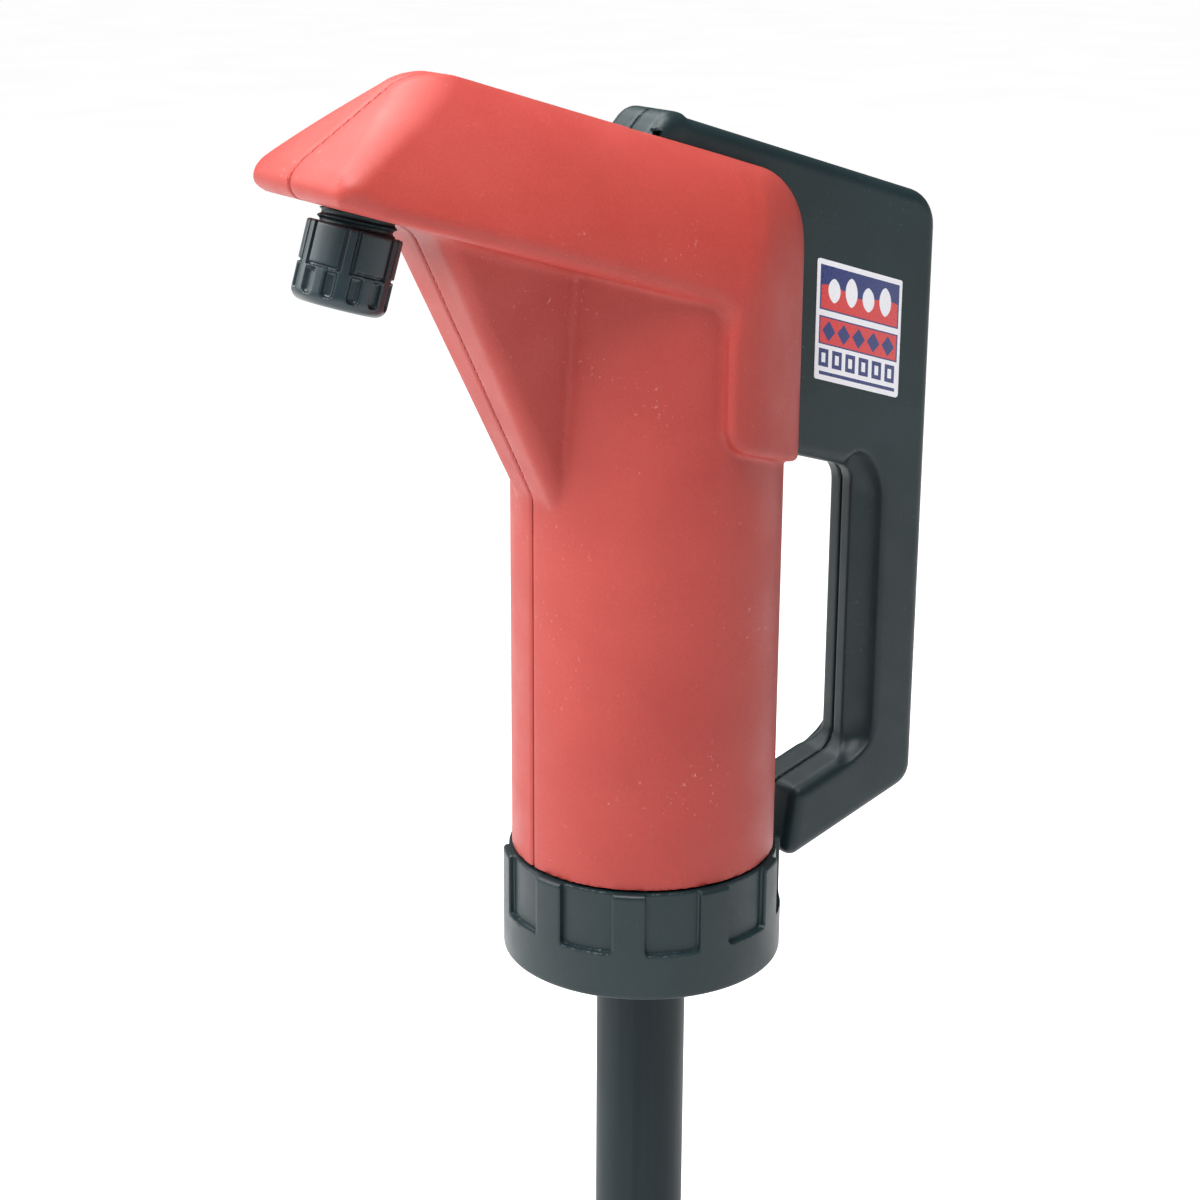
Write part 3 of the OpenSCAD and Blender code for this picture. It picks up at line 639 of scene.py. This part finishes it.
def hose_nut_field(x, y, z):
    """Ribs from top to foot, with plain walls between them above and scoops below"""
    radius = np.hypot(x, y)
    foot = HOSE_NUT_TOP - HOSE_NUT_H
    ledge = foot + HOSE_LEDGE * HOSE_NUT_H
    pitch = 2 * math.pi / HOSE_LOBES
    angle = (np.arctan2(y, x) + pitch / 2) % pitch - pitch / 2
    arc = np.abs(angle) * HOSE_NUT_R
    half_pitch = pitch / 2 * HOSE_NUT_R
    body = round_max(radius - HOSE_NUT_R, foot - z, 3.6)
    body = round_max(body, z - HOSE_NUT_TOP, 0.9)
    groove = round_max(np.abs(arc - HOSE_RIB_HALF) - HOSE_GROOVE_HALF, ledge - 0.6 - z, 0.3)
    groove = round_max(groove, HOSE_NUT_R - HOSE_GROOVE_DEPTH - radius, 0.3)
    band = np.maximum(HOSE_RIB_HALF - arc, np.abs(z - ledge) - HOSE_BAND_HALF)
    band = round_max(band, HOSE_NUT_R - HOSE_BAND_DEPTH - radius, 0.3)
    aside = np.maximum(np.abs(arc - HOSE_SCOOP_AT * half_pitch) - HOSE_SCOOP_HALF, 0)
    below = np.maximum(foot + HOSE_SCOOP_FOOT - z, 0)
    channel = round_max(np.hypot(aside, below) - HOSE_SCOOP_R, z - ledge + 1.1, 0.4)
    channel = round_max(channel, HOSE_NUT_R - HOSE_SCOOP_DEPTH - radius, 1.2)
    body = round_max(body, -np.minimum(groove, band), 0.3)
    body = round_max(body, -channel, 0.5)
    bore = np.where(z > foot + 4, THREAD_R + 0.3, OUTLET_BORE_R + 0.5)
    return np.maximum(body, bore - radius)


def spout_field(x, y, z):
    """Threaded stem with the flange that holds it inside the shells"""
    radius = np.hypot(x, y)
    turn = np.arctan2(y, x) / (2 * math.pi)
    phase = (z / THREAD_PITCH - turn) % 1
    crest = np.clip(1.35 - np.abs(phase - 0.5) * 4.2, 0, 1)
    threaded = smooth_step(z, SPOUT_END + 0.4, SPOUT_END + 2) * (1 - smooth_step(z, -0.6, 0.2))
    ends = np.maximum(SPOUT_END - z, z - SPOUT_TOP)
    stem = round_max(radius - THREAD_R + 1 - crest * threaded, ends, 0.4)
    flange = np.maximum(radius - FLANGE_R, np.maximum(FLANGE_Z[0] - z, z - FLANGE_Z[1]))
    return np.maximum(np.minimum(stem, flange), OUTLET_BORE_R - radius)


def make_outlet(material, gloss):
    step = 0.4
    foot = HOSE_NUT_TOP - HOSE_NUT_H
    r = HOSE_NUT_R
    points, quads = field_points(hose_nut_field, (-r, -r, foot), (r, r, HOSE_NUT_TOP), step)
    nut = add_mesh("hose_nut_moulding", from_outlet(points), quads)
    settle_in(nut, "hose_nut", "black_plastic", gloss, "hose_nut")
    points, quads = field_points(spout_field, (-16, -16, SPOUT_END), (16, 16, 6), step)
    spout = add_mesh("outlet_spout_moulding", from_outlet(points), quads)
    settle_in(spout, "housing", "black_plastic", material, "outlet_spout")


# ---------- suction tube ----------

def tube_mesh(name, r, z_top, notched):
    """A drawn tube with eased ends and a fine seam along its length"""
    inner, count = r - TUBE_WALL, TUBE_SIDES
    points, faces = [], []

    def notch_depth(t):
        width = abs(math.sin(2 * t)) / 2 * r
        rise = 1 - min(max((width - NOTCH_HALF) / NOTCH_EASE, 0), 1)
        return NOTCH_DEPTH * rise if notched else 0

    def seam(t):
        across = abs((t - SEAM_ANGLE + math.pi) % (2 * math.pi) - math.pi) * r
        return SEAM_DEPTH * max(0, 1 - across / SEAM_HALF)

    heights = [i / TUBE_STEPS for i in range(TUBE_STEPS + 1)]
    profile = [(r, h, 0) for h in heights]
    profile += [(r - TUBE_EASE, 1, 1), (inner + TUBE_EASE, 1, 1)]
    profile += [(inner, 1 - h, 0) for h in heights]
    profile += [(inner + TUBE_EASE, 0, -1), (r - TUBE_EASE, 0, -1)]
    for radius, h, end in profile:
        for i in range(count):
            t = 2 * math.pi * i / count
            low = z_top - TUBE_LENGTH + notch_depth(t)
            inset = TUBE_EASE if end == 0 else 0
            z = low + inset + (z_top - low - 2 * inset) * h
            out = radius - (seam(t) if radius == r else 0)
            points.append((out * math.cos(t), out * math.sin(t), z))
    turns = len(profile)
    for j in range(turns):
        for i in range(count):
            k, after = (i + 1) % count, (j + 1) % turns
            faces.append((j * count + i, j * count + k, after * count + k, after * count + i))
    return add_mesh(name, points, faces)


def collar_field(r_out, r_in, z0):
    """Fluted collar that steps from the outer tube down to the inner one"""
    def field(x, y, z):
        radius = np.hypot(x, y)
        pitch = math.pi / 4
        angle = (np.arctan2(y, x) + pitch / 2) % pitch - pitch / 2
        ends = np.maximum(z0 - COLLAR_BELOW - z, z - z0 - COLLAR_ABOVE)
        ring = round_max(radius - r_out - COLLAR_WALL, ends, 0.8)
        flute = 2 - np.hypot(radius - r_out - 3.6, angle * (r_out + COLLAR_WALL))
        ring = round_max(ring, flute, 0.4)
        return np.maximum(ring, np.where(z > z0, r_out + 0.02, r_in + 0.05) - radius)
    return field


def make_tubes(tube_material, collar_material):
    bodies = {"suction_tube_upper": "housing", "suction_tube_middle": "tube_middle",
              "suction_tube_lower": "tube_lower", "tube_collar_upper": "housing",
              "tube_collar_middle": "tube_middle"}
    for name, (r, z_top) in TUBES.items():
        tube = tube_mesh(name + "_drawn", r, z_top, name.endswith("lower"))
        settle_in(tube, bodies[name], "tube_plastic", tube_material, name)
    step = 0.6
    for name, (r_out, r_in, z0) in COLLARS.items():
        r = r_out + COLLAR_WALL
        collar = field_piece(name + "_moulding", collar_field(r_out, r_in, z0),
                             (-r, -r, z0 - COLLAR_BELOW), (r, r, z0 + COLLAR_ABOVE), step)
        settle_in(collar, bodies[name], "black_plastic", collar_material, name)


# ---------- materials ----------

class Nodes:
    """Short names for the nodes of one material"""

    def __init__(self, name, roughness, specular=0.5):
        self.material = bpy.data.materials.new(name)
        self.material.use_nodes = True
        self.tree = self.material.node_tree
        self.shader = self.tree.nodes["Principled BSDF"]
        self.shader.inputs["Roughness"].default_value = roughness
        self.shader.inputs["Specular IOR Level"].default_value = specular
        self.coordinates = self.tree.nodes.new("ShaderNodeTexCoord").outputs["Object"]

    def link(self, source, target):
        self.tree.links.new(source, target)

    def noise(self, scale, detail=3.0, roughness=0.55, stretch=(1, 1, 1)):
        mapping = self.tree.nodes.new("ShaderNodeMapping")
        mapping.inputs["Scale"].default_value = stretch
        self.link(self.coordinates, mapping.inputs["Vector"])
        node = self.tree.nodes.new("ShaderNodeTexNoise")
        node.inputs["Scale"].default_value = scale
        node.inputs["Detail"].default_value = detail
        node.inputs["Roughness"].default_value = roughness
        self.link(mapping.outputs["Vector"], node.inputs["Vector"])
        return node.outputs["Fac"]

    def ramp(self, source, stops):
        node = self.tree.nodes.new("ShaderNodeValToRGB")
        ramp = node.color_ramp
        while len(ramp.elements) < len(stops):
            ramp.elements.new(0.5)
        for element, (place, colour) in zip(ramp.elements, stops):
            element.position = place
            element.color = (*colour, 1)
        self.link(source, node.inputs["Fac"])
        return node.outputs["Color"]

    def spread(self, source, low, high, to_low, to_high):
        node = self.tree.nodes.new("ShaderNodeMapRange")
        keys = ("From Min", "From Max", "To Min", "To Max")
        for key, value in zip(keys, (low, high, to_low, to_high)):
            node.inputs[key].default_value = value
        self.link(source, node.inputs["Value"])
        return node.outputs["Result"]

    def mix(self, factor, a, b):
        node = self.tree.nodes.new("ShaderNodeMix")
        node.data_type = "RGBA"
        for key, value in (("Factor", factor), ("A", a), ("B", b)):
            socket = next(s for s in node.inputs if s.name == key and s.enabled)
            if isinstance(value, tuple):
                socket.default_value = (*value, 1)
            else:
                self.link(value, socket)
        return next(s for s in node.outputs if s.enabled)

    def maths(self, operation, a, b=0.0):
        node = self.tree.nodes.new("ShaderNodeMath")
        node.operation = operation
        for socket, value in zip(node.inputs, (a, b)):
            if isinstance(value, (int, float)):
                socket.default_value = value
            else:
                self.link(value, socket)
        return node.outputs["Value"]

    def axes(self):
        node = self.tree.nodes.new("ShaderNodeSeparateXYZ")
        self.link(self.coordinates, node.inputs["Vector"])
        return node.outputs["X"], node.outputs["Y"], node.outputs["Z"]

    def bump(self, height, strength, distance, below=None):
        node = self.tree.nodes.new("ShaderNodeBump")
        node.inputs["Strength"].default_value = strength
        node.inputs["Distance"].default_value = distance
        self.link(height, node.inputs["Height"])
        if below:
            self.link(below, node.inputs["Normal"])
        return node.outputs["Normal"]

    def finish(self, colour=None, roughness=None, normal=None):
        for key, value in (("Base Color", colour), ("Roughness", roughness), ("Normal", normal)):
            if value is not None:
                self.link(value, self.shader.inputs[key])
        return self.material


def moulded_plastic(name, dark, plain, light, roughness, specular, scuff, grain=0.35):
    """Spark-eroded plastic: fine grain, slow shifts of tone, and pale scuffs"""
    nodes = Nodes(name, roughness, specular)
    slow = nodes.noise(14, 4)
    tone = nodes.ramp(slow, [(0.3, dark), (0.52, plain), (0.72, light)])
    specks = nodes.ramp(nodes.noise(520, 2, 0.7), [(0.64, (0, 0, 0)), (0.76, (1, 1, 1))])
    patches = nodes.ramp(nodes.noise(26, 5, 0.7), [(0.5, (0, 0, 0)), (0.72, (1, 1, 1))])
    amount = nodes.maths("MULTIPLY", nodes.maths("MULTIPLY", specks, patches), 0.5)
    colour = nodes.mix(amount, tone, scuff)
    fine = nodes.noise(1500, 3, 0.65)
    mottle = nodes.spread(fine, 0.3, 0.7, 0.91, 1.08)
    shade = nodes.tree.nodes.new("ShaderNodeVectorMath")
    shade.operation = "SCALE"
    nodes.link(colour, shade.inputs[0])
    nodes.link(mottle, shade.inputs["Scale"])
    rough = nodes.spread(nodes.noise(60, 3), 0.3, 0.7, roughness - 0.05, roughness + 0.07)
    ripple = nodes.bump(nodes.noise(45, 2), 0.05, 0.0006)
    normal = nodes.bump(fine, grain, 0.0002, ripple)
    return nodes.finish(shade.outputs["Vector"], rough, normal)


def drawn_plastic(name, dark, light):
    """Extruded tube: faint streaks along its length"""
    nodes = Nodes(name, 0.5, 0.2)
    streaks = nodes.noise(210, 3, 0.6, (1, 1, 0.02))
    colour = nodes.ramp(streaks, [(0.3, dark), (0.7, light)])
    rough = nodes.spread(nodes.noise(90, 3, 0.6, (1, 1, 0.1)), 0.3, 0.7, 0.46, 0.6)
    normal = nodes.bump(nodes.noise(1500, 2), 0.15, 0.00008, nodes.bump(streaks, 0.12, 0.0002))
    return nodes.finish(colour, rough, normal)


def soft_rubber(name):
    """Matt black rubber with a fine grain"""
    nodes = Nodes(name, 0.7, 0.3)
    dark, light = (0.010, 0.011, 0.012), (0.02, 0.021, 0.022)
    colour = nodes.ramp(nodes.noise(300, 4), [(0.3, dark), (0.7, light)])
    normal = nodes.bump(nodes.noise(1800, 3), 0.3, 0.0001)
    return nodes.finish(colour, None, normal)


def turned_steel(name):
    """Plain steel with turning marks"""
    nodes = Nodes(name, 0.3)
    nodes.shader.inputs["Metallic"].default_value = 1.0
    dark, light = (0.42, 0.43, 0.45), (0.62, 0.63, 0.65)
    colour = nodes.ramp(nodes.noise(200, 4), [(0.3, dark), (0.7, light)])
    turning = nodes.noise(900, 2, 0.6, (0.1, 0.1, 1))
    rough = nodes.spread(turning, 0.3, 0.7, 0.24, 0.42)
    return nodes.finish(colour, rough, nodes.bump(turning, 0.15, 0.00005))


def printed_label(name):
    """White card: drops on a two-colour wave, a red band of diamonds, a row of open squares"""
    nodes = Nodes(name, 0.32, 0.5)
    white, navy, red = (0.72, 0.72, 0.76), (0.028, 0.040, 0.15), (0.56, 0.050, 0.052)
    x, _, z = nodes.axes()
    width, height = (LABEL_X[1] - LABEL_X[0]) * MM, (LABEL_TOP0 - LABEL_FOOT0) * MM
    maths = nodes.maths
    across = maths("DIVIDE", maths("SUBTRACT", x, LABEL_X[0] * MM), width)
    level = maths("ADD", z, maths("MULTIPLY", x, SLOPE))
    up = maths("DIVIDE", maths("SUBTRACT", level, LABEL_FOOT0 * MM), height)

    def within(value, low, high):
        over, under = maths("GREATER_THAN", value, low), maths("LESS_THAN", value, high)
        return maths("MULTIPLY", over, under)

    def block(left, right, foot, top):
        return maths("MULTIPLY", within(across, left, right), within(up, foot, top))

    def wave(turns, size, middle):
        swing = maths("SINE", maths("MULTIPLY", across, turns * 2 * math.pi))
        return maths("GREATER_THAN", up, maths("ADD", maths("MULTIPLY", swing, size), middle))

    def spot(place, middle, reach_x, reach_up):
        side = maths("ABSOLUTE", maths("SUBTRACT", across, place))
        rise = maths("ABSOLUTE", maths("SUBTRACT", up, middle))
        return maths("DIVIDE", side, reach_x), maths("DIVIDE", rise, reach_up)

    colour = nodes.mix(block(0.035, 0.965, 0.585, 0.955), white, navy)
    field = nodes.mix(wave(1.5, 0.025, 0.775), red, navy)
    colour = nodes.mix(block(0.05, 0.95, 0.597, 0.943), colour, field)
    for place, middle, tall in ((0.2, 0.76, 0.10), (0.4, 0.78, 0.12),
                                (0.6, 0.76, 0.10), (0.8, 0.78, 0.12)):
        side, rise = spot(place, middle, 0.07, tall)
        total = maths("ADD", maths("POWER", side, 1.6), maths("POWER", rise, 2.0))
        colour = nodes.mix(maths("LESS_THAN", total, 1.0), colour, white)
    colour = nodes.mix(block(0.035, 0.965, 0.30, 0.535), colour, navy)
    colour = nodes.mix(block(0.05, 0.95, 0.312, 0.523), colour, red)
    for i in range(5):
        side, rise = spot(0.15 + 0.175 * i, 0.418, 0.075, 0.085)
        diamond = maths("LESS_THAN", maths("ADD", side, rise), 1.0)
        colour = nodes.mix(diamond, colour, navy)
    for i in range(6):
        left = 0.04 + 0.157 * i
        colour = nodes.mix(block(left, left + 0.115, 0.115, 0.265), colour, navy)
        colour = nodes.mix(block(left + 0.035, left + 0.08, 0.15, 0.23), colour, white)
    colour = nodes.mix(block(0.05, 0.95, 0.045, 0.075), colour, navy)
    rough = nodes.spread(nodes.noise(900, 2), 0.3, 0.7, 0.24, 0.38)
    normal = nodes.bump(nodes.noise(1400, 2), 0.08, 0.00004)
    return nodes.finish(colour, rough, normal)


# ---------- stage ----------

def make_camera():
    """Level with the head, in front of the near side, looking down at the barrel"""
    ahead = math.cos(CAMERA_DOWN)
    forward = Vector((math.cos(CAMERA_HEADING) * ahead, math.sin(CAMERA_HEADING) * ahead,
                      -math.sin(CAMERA_DOWN)))
    level = forward.cross(Vector((0, 0, 1))).normalized()
    upright = level.cross(forward)
    right = math.cos(CAMERA_ROLL) * level + math.sin(CAMERA_ROLL) * upright
    up = math.cos(CAMERA_ROLL) * upright - math.sin(CAMERA_ROLL) * level
    data = bpy.data.cameras.new("camera")
    data.sensor_width = CAMERA_SENSOR
    data.lens = CAMERA_LENS
    camera = bpy.data.objects.new("camera", data)
    place = Matrix((right, up, -forward)).transposed().to_4x4()
    place.translation = CAMERA_PLACE
    camera.matrix_world = place
    bpy.context.scene.collection.objects.link(camera)
    bpy.context.scene.camera = camera


def make_floor():
    """Pale floor under the tube's foot, which glows more away from the pump"""
    mesh = bpy.data.meshes.new("floor")
    size, z = FLOOR_SIZE, cad_box[0][2]
    corners = [(-size, -size, z), (size, -size, z), (size, size, z), (-size, size, z)]
    mesh.from_pydata(corners, [], [(0, 1, 2, 3)])
    floor = bpy.data.objects.new("floor", mesh)
    bpy.context.scene.collection.objects.link(floor)
    nodes = Nodes("floor_paper", 0.9, 0.1)
    dark, light = (0.79, 0.79, 0.79), (0.81, 0.81, 0.81)
    colour = nodes.ramp(nodes.noise(3, 2), [(0.3, dark), (0.7, light)])
    nodes.link(colour, nodes.shader.inputs["Emission Color"])
    x, y, _ = nodes.axes()
    squares = nodes.maths("ADD", nodes.maths("MULTIPLY", x, x), nodes.maths("MULTIPLY", y, y))
    glow = nodes.spread(nodes.maths("SQRT", squares), *FLOOR_GLOW)
    nodes.link(glow, nodes.shader.inputs["Emission Strength"])
    mesh.materials.append(nodes.finish(colour))


def area_light(name, azimuth, elevation, distance, size, power):
    """Square light that faces the target from an azimuth and elevation in degrees"""
    data = bpy.data.lights.new(name, "AREA")
    data.size = size
    data.energy = power
    light = bpy.data.objects.new(name, data)
    a, e = math.radians(azimuth), math.radians(elevation)
    level = math.cos(e)
    offset = Vector((math.cos(a) * level, math.sin(a) * level, math.sin(e))) * distance
    light.location = LIGHT_TARGET + offset
    light.rotation_euler = offset.to_track_quat("Z", "Y").to_euler()
    bpy.context.scene.collection.objects.link(light)


def make_lights():
    world = bpy.data.worlds.new("studio")
    bpy.context.scene.world = world
    world.use_nodes = True
    background = world.node_tree.nodes["Background"]
    background.inputs["Color"].default_value = (1, 1, 1, 1)
    background.inputs["Strength"].default_value = WORLD_STRENGTH
    bpy.context.scene.view_settings.view_transform = "Standard"
    for light in LIGHTS:
        area_light(*light)


# ---------- assembly ----------

make_camera()
make_floor()
make_lights()

RED = moulded_plastic("red_moulding", (0.33, 0.036, 0.029), (0.37, 0.045, 0.036),
                      (0.41, 0.055, 0.045), 0.48, 0.32, (0.78, 0.46, 0.42))
BLACK = moulded_plastic("black_moulding", (0.005, 0.014, 0.017), (0.007, 0.019, 0.022),
                        (0.010, 0.025, 0.029), 0.42, 0.34, (0.09, 0.12, 0.13))
GLOSS = moulded_plastic("glossy_moulding", (0.007, 0.018, 0.023), (0.009, 0.022, 0.028),
                        (0.012, 0.027, 0.033), 0.36, 0.5, (0.09, 0.12, 0.13), 0.2)
TUBE = drawn_plastic("drawn_tube", (0.005, 0.013, 0.016), (0.009, 0.019, 0.023))
RUBBER = soft_rubber("seal_rubber")
STEEL = turned_steel("turned_steel")
LABEL = printed_label("printed_label")

make_shells(RED)
make_handle(BLACK)
make_label(LABEL)
make_drum_nut(BLACK)
make_outlet(BLACK, GLOSS)
make_tubes(TUBE, BLACK)

FINISHES = {"red_plastic": RED, "black_plastic": BLACK, "tube_plastic": TUBE,
            "rubber": RUBBER, "steel": STEEL}
for part in frame["record"]["subparts"]:
    node = frame["nodes"][part["node"]]
    for place in node.material_slots:
        place.material = FINISHES.get(part["material_slot"], BLACK)
